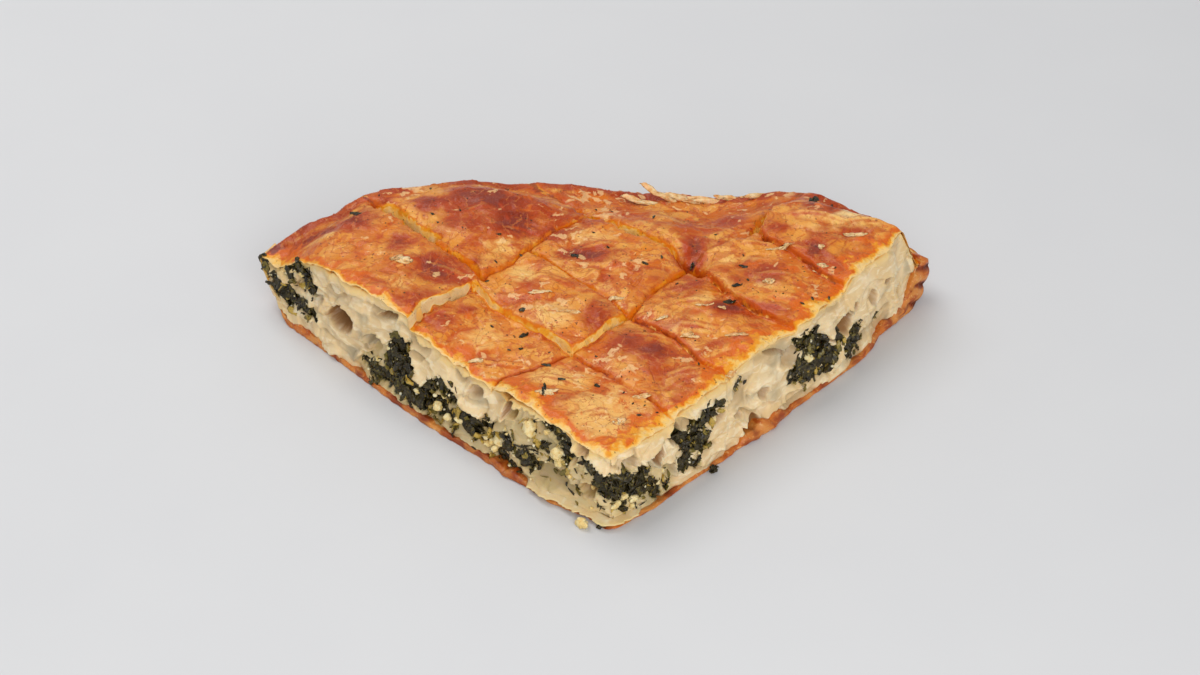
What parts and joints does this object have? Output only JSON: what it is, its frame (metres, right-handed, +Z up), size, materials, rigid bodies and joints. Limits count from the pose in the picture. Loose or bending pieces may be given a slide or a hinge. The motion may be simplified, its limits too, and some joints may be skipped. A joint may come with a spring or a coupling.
{
  "type": "spinach borek",
  "caption": "Quarter of a round tray of spinach borek: scored, egg-washed pastry lid, spinach layer showing in the straight cut faces, thin bottom pastry and a browned curved side.",
  "frame": {"origin": "on the table, under the middle of the piece's bounding box", "axes": "+X from the left end of the piece to the right end, +Y from the front corner, where the two cuts meet, to the curved outer side, +Z up"},
  "size_m": [0.2405, 0.168, 0.037],
  "materials": {
    "pastry_top": "layered pastry baked orange-brown under an egg wash, cream where it is cut",
    "spinach_filling": "moist cooked spinach, near black, with crumbs of white cheese",
    "pastry_bottom": "thin pastry baked brown against the tray"
  },
  "bodies": {
    "root": {"pastry_top": "pastry_top", "spinach_filling": "spinach_filling", "pastry_bottom": "pastry_bottom"}
  },
  "joints": []
}
